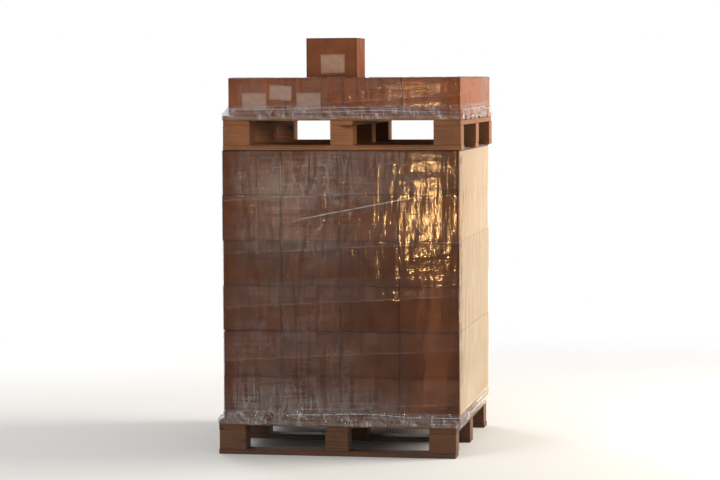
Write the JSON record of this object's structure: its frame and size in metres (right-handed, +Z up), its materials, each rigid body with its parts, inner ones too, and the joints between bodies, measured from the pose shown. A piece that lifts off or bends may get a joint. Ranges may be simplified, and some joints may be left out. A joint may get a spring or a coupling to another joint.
{
  "type": "shrink wrapped pallet load",
  "caption": "Block pallet of cartons wound in stretch film, with a second wrapped pallet of flat cartons and a loose carton standing on it.",
  "frame": {"origin": "on the floor, under the middle of the stack's outline", "axes": "+Z up, +X to the right along the front, +Y from the front to the back"},
  "size_m": [1.1306, 1.1026, 1.907],
  "materials": {
    "pallet_wood": "rough sawn, weathered",
    "kraft_board": "matt kraft liner",
    "stretch_film": "clear, glossy, creased",
    "label_paper": "matt",
    "packing_tape": "glossy",
    "nail_steel": "dull, slightly rusty"
  },
  "bodies": {
    "root": {"lower_bottom_boards": "pallet_wood", "lower_blocks": "pallet_wood", "lower_stringer_boards": "pallet_wood", "lower_deck_boards": "pallet_wood", "carton_layer_1": "kraft_board", "carton_layer_2": "kraft_board", "carton_layer_3": "kraft_board", "carton_layer_4": "kraft_board", "carton_layer_5": "kraft_board", "carton_layer_6": "kraft_board", "lower_wrap": "stretch_film", "upper_bottom_boards": "pallet_wood", "upper_blocks": "pallet_wood", "upper_stringer_boards": "pallet_wood", "upper_deck_boards": "pallet_wood", "upper_carton_layer": "kraft_board", "upper_wrap": "stretch_film", "top_carton": "kraft_board"}
  },
  "joints": []
}
